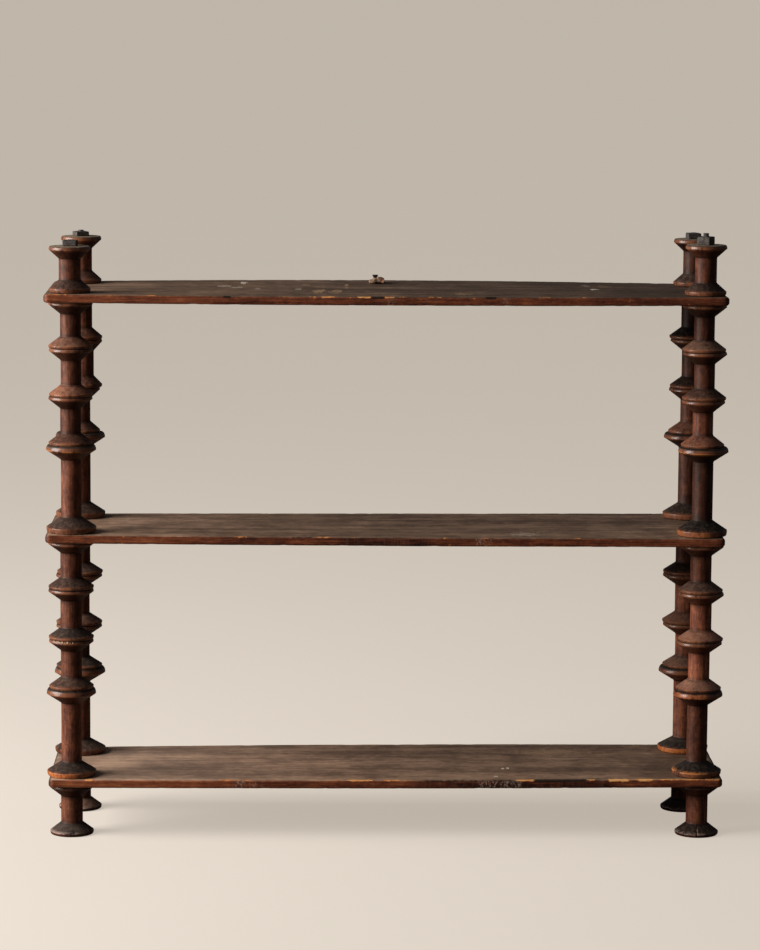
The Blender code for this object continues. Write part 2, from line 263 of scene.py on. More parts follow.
# Leather and its screw
LEATHER_SHRINKAGE = 1.5 * MM
LEATHER_ARCH = 0.9 * MM
LEATHER_RIPPLE = 0.2 * MM
LEATHER_LIFT = 0.15 * MM
LEATHER_THICKNESS = 3.4 * MM
CRUMPLE_HEIGHT = 1.0 * MM
SLOT_SIZE = (8 * MM, 0.7 * MM, 1.7 * MM)
SLOT_TURN = 24

# Iron
NUT_FULLNESS = 1.02
NUT_CORNER = 0.6 * MM
NUT_CHAMFER = 0.5 * MM
NUT_HOLE = 3.4 * MM
NUT_CUTS = 8
NUT_SHARES = (0.3, 0.5, 0.7)
SCALE_HEIGHT = 0.25 * MM
NUT_TURNS = {"front_left": 4, "front_right": 30, "rear_left": -22, "rear_right": -7}
THREAD_PITCH = 1.27 * MM
THREAD_DEPTH = 0.55 * MM
THREAD_REACH = 4 * MM
STUB_TAPER = 0.72
SHANK_STOP = 2 * MM
SHANK_SHARE = 0.985
ROD_CHAMFER = 0.5 * MM

# Stage
FLOOR_SIZE = 400
PAPER = (1.0, 0.885, 0.755)
PAPER_GLOW = 0.50
ROOM_FILL = 0.09
ROOM_TINT = (0.92, 0.95, 1.0)
WINDOW_PLACE = (-1.75, -0.4, 0.8)
WINDOW_AIM = (0, 0, 0.2)
WINDOW_TINT = (1.0, 0.96, 0.91)
WINDOW_SIZE = 1.2
WINDOW_POWER = 73


def deselect():
    """Leaves nothing selected."""
    if bpy.context.object and bpy.context.object.mode != "OBJECT":
        bpy.ops.object.mode_set(mode="OBJECT")
    bpy.ops.object.select_all(action="DESELECT")


def select_all():
    bpy.ops.mesh.select_all(action="SELECT")


def start(name):
    """Names the primitive just added and opens it in edit mode, with all of it selected."""
    piece = bpy.context.object
    piece.name = piece.data.name = name
    bpy.ops.object.mode_set(mode="EDIT")
    bpy.ops.mesh.select_mode(type="VERT")
    select_all()
    return piece


def block(name, centre, size):
    """A block about a centre, open in edit mode."""
    deselect()
    bpy.ops.mesh.primitive_cube_add(size=1, location=centre)
    bpy.ops.object.transform_apply(location=True)
    piece = start(name)
    bpy.ops.transform.resize(value=size, center_override=centre)
    return piece


def draw(name, place, steps):
    """A line that goes on from a place by steps, open in edit mode."""
    deselect()
    bpy.ops.mesh.primitive_plane_add(size=1)
    piece = start(name)
    bpy.ops.mesh.merge(type="CENTER")
    bpy.ops.transform.translate(value=place)
    for step in steps:
        bpy.ops.mesh.extrude_region_move(TRANSFORM_OT_translate={"value": step})
    return piece


def pick(piece, kind, test):
    """Selects the points or edges of a piece in edit mode that pass a test."""
    bpy.ops.mesh.select_mode(type=kind)
    bpy.ops.mesh.select_all(action="DESELECT")
    mesh = bmesh.from_edit_mesh(piece.data)
    for element in {"VERT": mesh.verts, "EDGE": mesh.edges}[kind]:
        if test(element):
            element.select_set(True)
    bmesh.update_edit_mesh(piece.data)


def weld(distance):
    """Merges the points of the piece in edit mode that lie closer together than a distance."""
    select_all()
    bpy.ops.mesh.remove_doubles(threshold=distance)


def slice_at(place, facing, **settings):
    """Cuts the piece in edit mode along a plane."""
    select_all()
    bpy.ops.mesh.bisect(plane_co=place, plane_no=facing, **settings)


def round_edges(piece, corner, corner_steps, arris, arris_steps):
    """Rounds the upright corners of a block, and then the edges around its two flat faces."""
    pick(piece, "EDGE", lambda edge: abs(edge.verts[0].co.z - edge.verts[1].co.z) > 1 * MM)
    bpy.ops.mesh.bevel(offset=corner, segments=corner_steps, affect="EDGES")
    pick(piece, "EDGE", lambda edge: sorted(round(abs(face.normal.z)) for face in edge.link_faces) == [0, 1])
    bpy.ops.mesh.bevel(offset=arris, segments=arris_steps, affect="EDGES")


def close_edit(angle=40):
    """Leaves edit mode and smooths the faces that meet below an angle in degrees."""
    select_all()
    bpy.ops.mesh.normals_make_consistent(inside=False)
    bpy.ops.object.mode_set(mode="OBJECT")
    smooth(angle)


def smooth(angle):
    bpy.ops.object.shade_smooth_by_angle(angle=math.radians(angle))


def modify(piece, kind, **settings):
    """Adds a modifier to a piece and applies it."""
    deselect()
    piece.select_set(True)
    bpy.context.view_layer.objects.active = piece
    modifier = piece.modifiers.new(kind.lower(), kind)
    for key, value in settings.items():
        setattr(modifier, key, value)
    bpy.ops.object.modifier_apply(modifier=modifier.name)


def dent(piece, pattern, strength, level=0.0, **settings):
    """Moves a piece's surface by a cloudy pattern, whose shade at the given level leaves it in place."""
    modify(piece, "DISPLACE", texture=pattern, texture_coords="LOCAL", strength=strength, mid_level=level,
           **settings)


def cut(piece, tool, operation="DIFFERENCE"):
    """Takes a tool's shape out of a piece, or joins it, and merges points that this leaves together."""
    modify(piece, "BOOLEAN", operation=operation, object=tool, solver="EXACT")
    bpy.data.objects.remove(tool)
    bpy.ops.object.mode_set(mode="EDIT")
    weld(CUT_WELD)
    bpy.ops.object.mode_set(mode="OBJECT")


def drill(piece, centre, radius, depth, facets):
    """Bores an upright hole through a piece."""
    deselect()
    bpy.ops.mesh.primitive_cylinder_add(vertices=facets, radius=radius, depth=depth, location=centre)
    cut(piece, bpy.context.object)


def points(piece):
    """The places of a piece's points, one row each."""
    places = np.empty(len(piece.data.vertices) * 3)
    piece.data.vertices.foreach_get("co", places)
    return places.reshape(-1, 3)


def move_points(piece, places):
    piece.data.vertices.foreach_set("co", places.ravel())
    piece.data.update()


def shift(piece, by):
    piece.data.transform(Matrix.Translation(by))


def keep(piece, name, values):
    """Stores one number for each point, for the finish to read."""
    stored = piece.data.attributes.get(name) or piece.data.attributes.new(name, "FLOAT", "POINT")
    stored.data.foreach_set("value", np.broadcast_to(values, len(piece.data.vertices)).astype(np.float32))


def weigh(piece, name, weights):
    """Makes a vertex group from one weight for each point."""
    group = piece.vertex_groups.new(name=name)
    for index, weight in enumerate(weights):
        if weight > LEAST_WEIGHT:
            group.add([index], float(weight), "REPLACE")


def ease(values, low, high):
    """0 below low, 1 above high, and a smooth rise between them."""
    share = np.clip((values - low) / (high - low), 0, 1)
    return share * share * (3 - 2 * share)


def clouds(name, size, depth, low, high):
    """A pattern for the Displace modifier, of spots about the given size that rise from low to high."""
    pattern = bpy.data.textures.new(name, "CLOUDS")
    pattern.noise_scale = size
    pattern.noise_depth = depth
    pattern.use_color_ramp = True
    for element, position, shade in zip(pattern.color_ramp.elements, (low, high), (0, 1)):
        element.position = position
        element.color = (shade, shade, shade, 1)
    return pattern


RIM_NICKS = clouds("rim_nicks", 5 * MM, 2, 0.62, 0.90)
ARRIS_DENTS = clouds("arris_dents", 7 * MM, 3, 0.52, 0.85)
BOARD_WAVES = clouds("board_waves", 90 * MM, 1, 0.0, 1.0)
IRON_SCALE = clouds("iron_scale", 2.2 * MM, 3, 0.2, 0.8)
LEATHER_CRUMPLE = clouds("leather_crumple", 3.5 * MM, 2, 0.2, 0.8)


def turn(name, outline):
    """Turns a closed outline of (radius, height) points about the upright axis."""
    corners = outline + outline[:1]
    steps = [(end[0] - begin[0], 0, end[1] - begin[1]) for begin, end in zip(corners, corners[1:])]
    piece = draw(name, (outline[0][0], 0, outline[0][1]), steps)
    select_all()
    bpy.ops.mesh.spin(steps=LATHE_STEPS, angle=math.tau, center=(0, 0, 0), axis=(0, 0, 1))
    weld(WELD)
    close_edit()
    return piece


def flange(rim_radius, barrel_radius, lip, rim, cone):
    """One end of a spool from its end face to its barrel, as (radius, height) from the face."""
    outline = []
    for step in range(LIP_STEPS + 1):
        angle = math.radians(90 * step / LIP_STEPS)
        radius = rim_radius - lip * (1 - math.sin(angle))
        outline.append((radius, (rim - EDGE_ROUNDING) * (1 - math.cos(angle))))
    slope = math.atan2(cone, rim_radius - barrel_radius)
    for step in range(1, ROUNDING_STEPS + 1):
        angle = (math.pi / 2 - slope) * step / ROUNDING_STEPS
        radius = rim_radius - EDGE_ROUNDING * (1 - math.cos(angle))
        outline.append((radius, rim - EDGE_ROUNDING + EDGE_ROUNDING * math.sin(angle)))
    edge_radius, edge_height = outline[-1]
    reach = FILLET * math.tan((math.pi / 2 - slope) / 2)
    corner_height = edge_height + (edge_radius - barrel_radius) * math.tan(slope)
    for share in CONE_SHARES:
        outline.append((edge_radius + (barrel_radius + reach * math.cos(slope) - edge_radius) * share,
                        edge_height + (corner_height - reach * math.sin(slope) - edge_height) * share))
    for step in range(ROUNDING_STEPS + 1):
        angle = (math.pi / 2 - slope) * (1 - step / ROUNDING_STEPS)
        outline.append((barrel_radius + FILLET * (1 - math.cos(angle)),
                        corner_height + reach - FILLET * math.sin(angle)))
    return outline, max(rim + cone, corner_height + reach)


def spool_outline(height, rim_radius, barrel, ends, pocket):
    """The closed outline of one make of spool, standing on height 0."""
    (bottom, bottom_end), (top, top_end) = (
        flange(rim_radius, barrel, *(size * MM for size in end)) for end in ends)
    straight = height - top_end - bottom_end
    middle = [(barrel, bottom_end + straight * share) for share in BARREL_SHARES]
    outside = bottom + middle + [(radius, height - rise) for radius, rise in reversed(top)]
    bore = [(BORE_RADIUS, height)]
    if pocket:
        bore += [(BORE_RADIUS, pocket), (POCKET_RADIUS, pocket), (POCKET_RADIUS, 0)]
    else:
        bore += [(BORE_RADIUS, 0)]
    return outside + bore


def stems_of(kind):
    """Where the spools of one make stand in a post."""
    return [stem for stem in STACK if stem.startswith(kind)]


def spool_master(kind):
    """One spool of a make, turned on the upright axis with its foot at height 0."""
    low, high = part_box(stems_of(kind)[0] + "_front_left")
    rim_radius = (high.x - low.x) / 2
    height = high.z - low.z + 2 * SEAT_CLOSING
    pocket = 0
    if kind == "foot_spool":
        height -= SEAT_CLOSING
        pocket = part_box("bottom_nut_front_left")[1].z + 2 * SEAT_CLOSING
    barrel = SPOOL_MAKES[kind][0] * MM
    ends = SPOOL_MAKES[kind][1:]
    master = turn(kind, spool_outline(height, rim_radius, barrel, ends, pocket))
    x, y, z = points(master).T
    radius = np.hypot(x, y)
    bottom_rim, bottom_cone = ends[0][1:]
    top_rim = ends[1][1]
    near_end = np.where(z < height / 2, z - bottom_rim * MM, height - z - top_rim * MM)
    outer = ease(radius, rim_radius - 2.4 * MM, rim_radius - 0.3 * MM)
    keep(master, "rim", outer * (1 - ease(near_end, 0.0, 0.6 * MM)))
    keep(master, "line", outer * (1 - ease(np.abs(near_end), 0.1 * MM, 0.6 * MM)))
    from_top = height if kind == "finial_spool" else height - z
    from_foot = height if kind == "foot_spool" else z
    # Painted shade: the lips by the joints between spools are darkened where the groove between them lies in
    # shade.
    keep(master, "seam", 1 - ease(np.minimum(from_top, from_foot), 0.1 * MM, 0.6 * MM))
    corner = np.abs(near_end - bottom_cone * MM) / (3 * MM)
    # Closeness to the corner where the barrel meets a cone, which the finish darkens as grime and painted
    # shade.
    keep(master, "hollow", (1 - ease(corner, 0, 1)) * (1 - ease(radius, barrel + 1 * MM, barrel + 4 * MM)))
    weigh(master, "rim_edge", ease(radius, rim_radius - 1.8 * MM, rim_radius - 0.4 * MM))
    return master


def tone_of(stem, tones):
    """The tone of a spool, from lists of the spools of its post that have each tone."""
    for tone, stems in tones.items():
        if stem in stems:
            return tone
    return 1.0


def joint_rises(stem, post):
    """How far the foot and the top of a spool are above their regular places."""
    low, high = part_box("rod_" + post)
    bottom, middle, top = (float(bow(node, (low.x + high.x) / 2, (low.y + high.y) / 2)) for node in BOWS)
    lower, upper = ([rise * MM for rise in rises] for rises in JOINT_RISES[post])
    rises = [0, bottom, bottom, *lower, middle, middle, *upper, top, top, TOP_RISES[post] * MM]
    place = STACK.index(stem)
    beds = 1 + (place > 0) + (place > 4) + (place > 8)
    return rises[place + beds - 1], rises[place + beds]


def place_spool(master, kind, stem, post, chance):
    """A copy of a master spool in its place on a post, with its own height and wear."""
    node = f"{stem}_{post}"
    is_foot = kind == "foot_spool"
    low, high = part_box(node)
    spool = master.copy()
    spool.data = master.data.copy()
    spool.name = spool.data.name = node + "_wood"
    bpy.context.collection.objects.link(spool)
    places = points(spool)
    x, y, z = places.T
    rim = np.empty(len(places), np.float32)
    spool.data.attributes["rim"].data.foreach_get("value", rim)
    made = z.max()
    below = z < made / 2
    bottom_wear, top_wear = BARE_RIMS.get(node, (chance.uniform(*USUAL_WEAR), chance.uniform(*USUAL_WEAR)))
    # The worn side faces the lamp: wear kept to it also paints light on the lit side and leaves the shaded
    # side dark.
    lit_worn_side = ease(np.cos(np.arctan2(x, -y) - LIT_WORN_SIDE), 0.2, 0.6)
    marks = {
        "wear": rim * lit_worn_side * np.where(below, bottom_wear, top_wear),
        "tone": tone_of(stem, BARREL_TONES[post]),
        "cone": tone_of(stem, CONE_TONES[post]),
        "dull": DULL_CONES[kind] + chance.uniform(-DULL_SPREAD, DULL_SPREAD),
        "bright": lit_worn_side * {"top": ~below, "bottom": below}.get(BRIGHT_LINES.get(node), 0),
        "handled": FOOT_HANDLED if is_foot else 1,
        # A pale line on the lit side of the feet's bottom rims: wear, and a painted highlight.
        "scuffed": lit_worn_side * below if is_foot else 0,
        "raw": 0,
    }
    for name, values in marks.items():
        keep(spool, name, values)
    bottom_rise, top_rise = joint_rises(stem, post)
    seat = (low.z if is_foot else low.z - SEAT_CLOSING) + bottom_rise
    longer = high.z + SEAT_CLOSING + top_rise - seat - made
    z += longer * np.clip(3 * z / made - 1, 0, 1)
    if post in REAR_SPREADS:
        radius = np.hypot(x, y)
        barrel = SPOOL_MAKES[kind][0] * MM
        spread = REAR_SPREADS[post][STACK.index(stem)] * MM
        spread = spread * np.clip((radius - barrel) / (radius.max() - barrel), 0, 1)
        places[:, :2] *= (1 + spread / radius)[:, None]
    move_points(spool, places)
    width, depth = chance.uniform(*OUT_OF_ROUND), chance.uniform(*OUT_OF_ROUND)
    spool.data.transform(Matrix.Diagonal((width, depth, 1, 1)))
    centre = (low + high) / 2
    foot = Vector((centre.x + SPOOL_DRIFTS[post][STACK.index(stem)] * MM, centre.y, seat))
    shift(spool, foot)
    dent(spool, RIM_NICKS, -NICK_DEPTH, vertex_group="rim_edge")
    rim_radius = (high.x - low.x) / 2
    if node == CHIPPED_RIM:
        chip_rim(spool, Vector((foot.x, foot.y, seat + made + longer)), rim_radius)
    if node == SPLIT_FOOT:
        split_foot(spool, foot, rim_radius)
    return spool


def chip_rim(spool, top, rim_radius):
    """Knocks small scoops out of a spool's upper rim and bares the wood in them."""
    chips = []
    for angle in CHIP_ANGLES:
        turned = math.radians(angle)
        outward = Vector((math.sin(turned), -math.cos(turned), 0))
        chips.append(top + outward * (rim_radius + CHIP_RADIUS * CHIP_STANDOFF))
    for place in chips:
        deselect()
        bpy.ops.mesh.primitive_uv_sphere_add(segments=24, ring_count=16, radius=CHIP_RADIUS, location=place)
        cut(spool, bpy.context.object)
    places = points(spool)
    reach = [np.linalg.norm(places - np.array(place), axis=1) for place in chips]
    keep(spool, "raw", np.min(reach, axis=0) < CHIP_RADIUS + 0.15 * MM)


def split_foot(spool, bottom, rim_radius):
    """Opens a narrow split that runs up a foot from its rim to its barrel."""
    turned = math.radians(SPLIT_ANGLE)
    wedge = block("wedge", (0, 0, 0), (SPLIT_WIDTH, rim_radius, SPLIT_HEIGHT))
    bpy.ops.transform.translate(value=(0, -rim_radius, SPLIT_HEIGHT / 2 + SPLIT_LIFT))
    pick(wedge, "VERT", lambda point: point.co.z > SPLIT_HEIGHT / 2)
    bpy.ops.transform.resize(value=(SPLIT_TAPER, 1, 1), center_override=(0, 0, SPLIT_HEIGHT))
    select_all()
    bpy.ops.transform.rotate(value=-turned, orient_axis="Z", center_override=(0, 0, 0))
    bpy.ops.transform.translate(value=bottom)
    cut(spool, wedge)
    x, y, z = (points(spool) - np.array(bottom)).T
    across = x * math.cos(turned) + y * math.sin(turned)
    ahead = x * math.sin(turned) - y * math.cos(turned)
    side = np.abs(across - SPLIT_WIDTH / 2) < 0.4 * MM
    keep(spool, "raw", side & (ahead > 0) & (z > 2.2 * MM) & (z < 6 * MM))


def stretches(x, spans, blend):
    """How much wear, and for the dark spans painted shadow, an edge gets along x, from spans in millimetres
    that blend out at their ends.
    """
    worn = np.zeros(len(x))
    for begin, end, amount in spans:
        inside = ease(x, (begin - blend) * MM, begin * MM) * (1 - ease(x, end * MM, (end + blend) * MM))
        worn = np.maximum(worn, inside * amount)
    return worn


def bow(node, x, y):
    """How far a board has bowed or twisted up from level at a place."""
    low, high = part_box(node)
    front, rear = BOWS[node]
    back = (y - low.y) / (high.y - low.y)
    over = (x - low.x) / (high.x - low.x)
    sag = (front + (rear - front) * back) * np.clip(1 - (x / POST_X) ** 2, 0, 1)
    front_left, front_right, rear_left, rear_right = CORNER_RISES[node]
    twist = (front_left + (front_right - front_left) * over) * (1 - back) + (
        rear_left + (rear_right - rear_left) * over) * back
    return (sag + twist) * MM


def board(node):
    """A thin board with rounded corners, worn arrises and four rod holes."""
    low, high = (corner + Vector((SHIFTS[node] * MM, 0, 0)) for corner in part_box(node))
    middle = (low.z + high.z) / 2
    piece = block(node + "_wood", (low + high) / 2, high - low)
    round_edges(piece, CORNER_RADIUS, 6, ARRIS, 4)
    spacing = (high.x - low.x) / (CUTS_ALONG + 1)
    for step in range(CUTS_ALONG):
        slice_at((low.x + spacing * (step + 1), 0, 0), (1, 0, 0))
    spacing = (high.y - low.y) / (CUTS_ACROSS + 1)
    for step in range(CUTS_ACROSS):
        slice_at((0, low.y + spacing * (step + 1), 0), (0, 1, 0))
    for share in EDGE_SHARES:
        slice_at((0, 0, low.z + (high.z - low.z) * share), (0, 0, 1))
    close_edit(50)
    places = points(piece)
    x, y, z = places.T
    from_top, from_foot = high.z - z, z - low.z
    from_end = np.minimum(x - low.x, high.x - x)
    side = np.minimum(from_end, np.minimum(y - low.y, high.y - y))
    arris = 1 - ease(np.hypot(np.minimum(from_foot, from_top), side), 0.6 * MM, 2.4 * MM)
    weigh(piece, "arris_edge", arris)
    front = 1 - ease(y, low.y + 1.2 * MM, low.y + 2.6 * MM)
    # worn holds the wear, and under dark the painted shadow line along the upper arris.
    worn = {kind: front * stretches(x, spans, LONG_BLEND if kind in ("shade", "warm") else SHORT_BLEND)
            for kind, spans in EDGE_WEAR_AND_SHADOW[node].items()}
    pale = np.maximum(worn["pale"] - from_top / (1.7 * MM), worn["low"] - from_foot / (1.7 * MM))
    from_end = np.clip(from_end / END_ROUNDING, 0, 1)
    marks = {
        "arris": arris,
        "pale": np.clip(pale, 0, 2),
        # painted shadow line along the upper front arris
        "dark": worn["dark"] * (1 - ease(from_top, 0.8 * MM, 2.0 * MM)),
        "shade": worn["shade"],
        "warm": worn["warm"],
        "scrape": worn["scrape"],
        # Each board's own tone together with painted light from the lamp on the left.
        "light": np.interp(x, (-TONE_X, 0, TONE_X), UPPER_TONES_AND_LIGHT[node]),
        "end": 1 - from_end,
    }
    for name, values in marks.items():
        keep(piece, name, values)
    z[:] = middle + (z - middle) * np.sqrt(1 - END_THINNING * (1 - from_end) ** 2)
    z += bow(node, x, y)
    move_points(piece, places)
    dent(piece, BOARD_WAVES, WAVE_HEIGHT, 0.5, direction="Z")
    dent(piece, ARRIS_DENTS, -DENT_DEPTH, vertex_group="arris_edge")
    for post in POSTS:
        rod_low, rod_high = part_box("rod_" + post)
        centre = ((rod_low.x + rod_high.x) / 2, (rod_low.y + rod_high.y) / 2, middle)
        drill(piece, centre, BORE_RADIUS, 40 * MM, 32)
    return piece


def nut(node, turned):
    """A square nut with a chamfered top, rounded corners and a clear hole."""
    low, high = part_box(node)
    centre = (low + high) / 2
    span = high.x - low.x
    angle = math.radians(turned)
    width = span / (abs(math.cos(angle)) + abs(math.sin(angle))) * NUT_FULLNESS
    piece = block(node + "_iron", centre, (width, width, high.z - low.z))
    round_edges(piece, NUT_CORNER, 3, NUT_CHAMFER, 3)
    select_all()
    bpy.ops.transform.rotate(value=angle, orient_axis="Z", center_override=centre)
    for step in range(1, NUT_CUTS):
        for axis in (Vector((1, 0, 0)), Vector((0, 1, 0))):
            slice_at(centre + axis * (step / NUT_CUTS - 0.5) * span, axis)
    for share in NUT_SHARES:
        slice_at((0, 0, low.z + (high.z - low.z) * share), (0, 0, 1))
    close_edit(50)
    dent(piece, IRON_SCALE, SCALE_HEIGHT, 0.5)
    drill(piece, centre, NUT_HOLE, 30 * MM, 48)
    modify(piece, "TRIANGULATE", min_vertices=5)
    return piece


def threaded(name, radius, bottom, top):
    """A length of screw thread on the upright axis, closed at both ends."""
    half = THREAD_PITCH / 2
    piece = draw(name, (radius - THREAD_DEPTH, 0, bottom - 2 * THREAD_PITCH),
                 ((THREAD_DEPTH, 0, half), (-THREAD_DEPTH, 0, half)))
    turns = math.ceil((top - bottom) / THREAD_PITCH) + 4
    modify(piece, "SCREW", angle=math.tau, screw_offset=THREAD_PITCH, iterations=turns, steps=32,
           render_steps=32, use_merge_vertices=True, merge_threshold=WELD, axis="Z")
    bpy.ops.object.mode_set(mode="EDIT")
    weld(WELD)
    for height, facing in ((top, 1), (bottom, -1)):
        slice_at((0, 0, height), (0, 0, facing), use_fill=True, clear_outer=True)
    close_edit(30)
    return piece


def rod(post):
    """The iron rod of one post, threaded where it comes out of its nuts."""
    low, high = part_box("rod_" + post)
    nut_low, nut_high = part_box("top_nut_" + post)
    radius = (high.x - low.x) / 2
    piece = threaded("rod_" + post + "_iron", radius, nut_low.z - THREAD_REACH, high.z)
    deselect()
    shank_top = nut_low.z - SHANK_STOP
    bpy.ops.mesh.primitive_cylinder_add(vertices=48, radius=radius * SHANK_SHARE, depth=shank_top - low.z,
                                        location=(0, 0, (shank_top + low.z) / 2))
    shank = start("shank")
    bpy.ops.mesh.normals_make_consistent(inside=False)
    pick(shank, "EDGE", lambda edge: max(point.co.z for point in edge.verts) < low.z + 1 * MM)
    bpy.ops.mesh.bevel(offset=ROD_CHAMFER, segments=2, affect="EDGES")
    cut(piece, shank, "UNION")
    places = points(piece)
    x, y, z = places.T
    places[:, :2] *= np.where(z > nut_high.z, STUB_TAPER, 1)[:, None]
    x += (low.x + high.x) / 2
    y += (low.y + high.y) / 2
    z += TOP_RISES[post] * MM * ease(z, nut_low.z - 40 * MM, nut_low.z - 5 * MM)
    x += SPOOL_DRIFTS[post][0] * MM * np.clip((high.z - z) / (high.z - low.z), 0, 1)
    move_points(piece, places)
    smooth(30)
    return piece


def hanger_tab():
    """The arched, crumpled scrap of leather on the top board."""
    low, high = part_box("hanger_tab")
    centre = (low + high) / 2
    bed = (centre.x, centre.y, low.z)
    deselect()
    bpy.ops.mesh.primitive_grid_add(x_subdivisions=28, y_subdivisions=28, size=1, location=bed)
    bpy.ops.object.transform_apply(location=True)
    piece = start("hanger_tab_leather")
    bpy.ops.transform.resize(value=(high.x - low.x, high.y - low.y, 1), center_override=bed)
    close_edit()
    places = points(piece)
    x, y, z = places.T
    along = (x - low.x) / (high.x - low.x)
    across = (y - low.y) / (high.y - low.y)
    x += LEATHER_SHRINKAGE * (1 - along)
    rise = LEATHER_ARCH * (1 - np.cos(1.6 * math.pi * along)) / 2
    ripple = LEATHER_RIPPLE * np.sin(7 * across + 3 * along)
    z[:] = low.z + bow("top_shelf", centre.x, centre.y) + LEATHER_LIFT + rise + ripple
    y[:] = centre.y + (y - centre.y) * (1 - 0.35 * ease(0.45 - along, 0, 0.45))
    move_points(piece, places)
    keep(piece, "along", along)
    thick = 0.55 + 0.45 * ease(along, 0.12, 0.45) - 0.2 * ease(along, 0.8, 1.0)
    weigh(piece, "thick", thick * (0.85 + 0.15 * np.cos(5 * across)))
    modify(piece, "SOLIDIFY", thickness=LEATHER_THICKNESS, offset=1, vertex_group="thick")
    modify(piece, "SUBSURF", levels=1, render_levels=1)
    dent(piece, LEATHER_CRUMPLE, CRUMPLE_HEIGHT, 0.5)
    smooth(60)
    return piece


def hanger_screw():
    """The countersunk screw that holds the leather, with a slot across its head."""
    low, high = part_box("hanger_screw")
    centre = (low + high) / 2
    tip, crown = (centre.x, centre.y, low.z), (centre.x, centre.y, high.z)
    head = (high.x - low.x) / 2
    shank = head * 0.48
    radius = shank * 0.6
    deselect()
    bpy.ops.mesh.primitive_circle_add(vertices=48, radius=radius, fill_type="NGON", location=tip)
    bpy.ops.object.transform_apply(location=True)
    piece = start("hanger_screw_steel")
    for next_radius, rise in ((shank, 0.6 * MM), (shank, high.z - low.z - 2.9 * MM), (head * 0.96, 1.9 * MM),
                              (head, 0.15 * MM), (head * 0.94, 0.2 * MM), (head * 0.5, 0.05 * MM)):
        bpy.ops.mesh.extrude_region_move(TRANSFORM_OT_translate={"value": (0, 0, rise)})
        scale = next_radius / radius
        bpy.ops.transform.resize(value=(scale, scale, 1), center_override=tip)
        radius = next_radius
    close_edit(35)
    slot = block("slot", crown, SLOT_SIZE)
    bpy.ops.transform.rotate(value=math.radians(SLOT_TURN), orient_axis="Z", center_override=crown)
    cut(piece, slot)
    shift(piece, (0, 0, bow("top_shelf", centre.x, centre.y)))
    return piece


class Wire:
    """A socket of a finish's node tree; arithmetic on it adds Math nodes."""

    def __init__(self, finish, socket):
        self.finish = finish
        self.socket = socket

    def work(self, operation, first, second):
        return self.finish.node("Math", {"operation": operation}, {0: first, 1: second})

    def __add__(self, other):
        return self.work("ADD", self, other)

    def __sub__(self, other):
        return self.work("SUBTRACT", self, other)

    def __rsub__(self, other):
        return self.work("SUBTRACT", other, self)

    def __mul__(self, other):
        return self.work("MULTIPLY", self, other)

    def __abs__(self):
        return self.work("ABSOLUTE", self, 0)

    __radd__ = __add__
    __rmul__ = __mul__


class Finish:
    """A surface finish: a Principled shader and the nodes that feed it."""

    def __init__(self, name):
        self.material = bpy.data.materials.new(name)
        self.material.use_nodes = True
        self.tree = self.material.node_tree
        self.shader = self.tree.nodes["Principled BSDF"]

    def node(self, kind, settings, inputs, output=0):
        """Adds a shader node with its settings and inputs, and gives one of its outputs."""
        made = self.tree.nodes.new("ShaderNode" + kind)
        for key, value in settings.items():
            if key == "stops":
                self.set_stops(made.color_ramp.elements, value)
            else:
                setattr(made, key, value)
        for key, value in inputs.items():
            self.feed(made.inputs[key], value)
        return Wire(self, made.outputs[output])

    def set_stops(self, elements, stops):
        while len(elements) < len(stops):
            elements.new(1)
        for element, (position, colour) in zip(elements, stops):
            element.position = position
            element.color = (*colour, 1)

    def feed(self, socket, value):
        if isinstance(value, Wire):
            self.tree.links.new(value.socket, socket)
        elif isinstance(value, tuple) and len(value) == 3 and socket.type == "RGBA":
            socket.default_value = (*value, 1)
        else:
            socket.default_value = value

    def coat(self, **inputs):
        """Sets the shader's own sockets, by their names with _ for a space."""
        for key, value in inputs.items():
            self.feed(self.shader.inputs[key.replace("_", " ")], value)

    def place(self):
        return self.node("TexCoord", {}, {}, 3)

    def stretched(self, scale):
        return self.node("Mapping", {}, {"Vector": self.place(), "Scale": scale})

    def noise(self, vector, scale, detail=4, roughness=0.55, distortion=0):
        return self.node("TexNoise", {}, {"Vector": vector, "Scale": scale, "Detail": detail,
                                                    "Roughness": roughness, "Distortion": distortion})

    def kept(self, name):
        return self.node("Attribute", {"attribute_name": name}, {}, 2)

    def upward(self):
        """How far the surface faces up, from -1 to 1."""
        normal = self.node("NewGeometry", {}, {}, 1)
        return self.node("SeparateXYZ", {}, {0: normal}, 2)

    def ease(self, value, low, high):
        return self.node("MapRange", {"interpolation_type": "SMOOTHSTEP"},
                         {"Value": value, "From Min": low, "From Max": high})

    def ramp(self, value, *stops):
        return self.node("ValToRGB", {"stops": stops}, {0: value})

    def mix(self, share, first, second):
        return self.node("Mix", {"data_type": "RGBA"}, {0: share, 6: first, 7: second}, 2)

    def cover(self, colour, *coats):
        """Lays colours over a colour one after another, each by its own share."""
        for share, shade in coats:
            colour = self.mix(share, colour, shade)
        return colour

    def spot(self, centre, size, ragged):
        """A spot about a place, with its half sizes and an outline broken up by a pattern."""
        offset = self.node("VectorMath", {"operation": "SUBTRACT"}, {0: self.place(), 1: centre})
        offset = self.node("VectorMath", {"operation": "DIVIDE"}, {0: offset, 1: size})
        distance = self.node("VectorMath", {"operation": "LENGTH"}, {0: offset}, 1)
        return self.ease(distance + 3.0 * (ragged - 0.5), 1.15, 0.75)

    def scaled(self, colour, factor):
        return self.node("VectorMath", {"operation": "SCALE"}, {0: colour, 3: factor})

    def bump(self, height, distance, strength):
        return self.node("Bump", {}, {"Height": height, "Distance": distance, "Strength": strength})


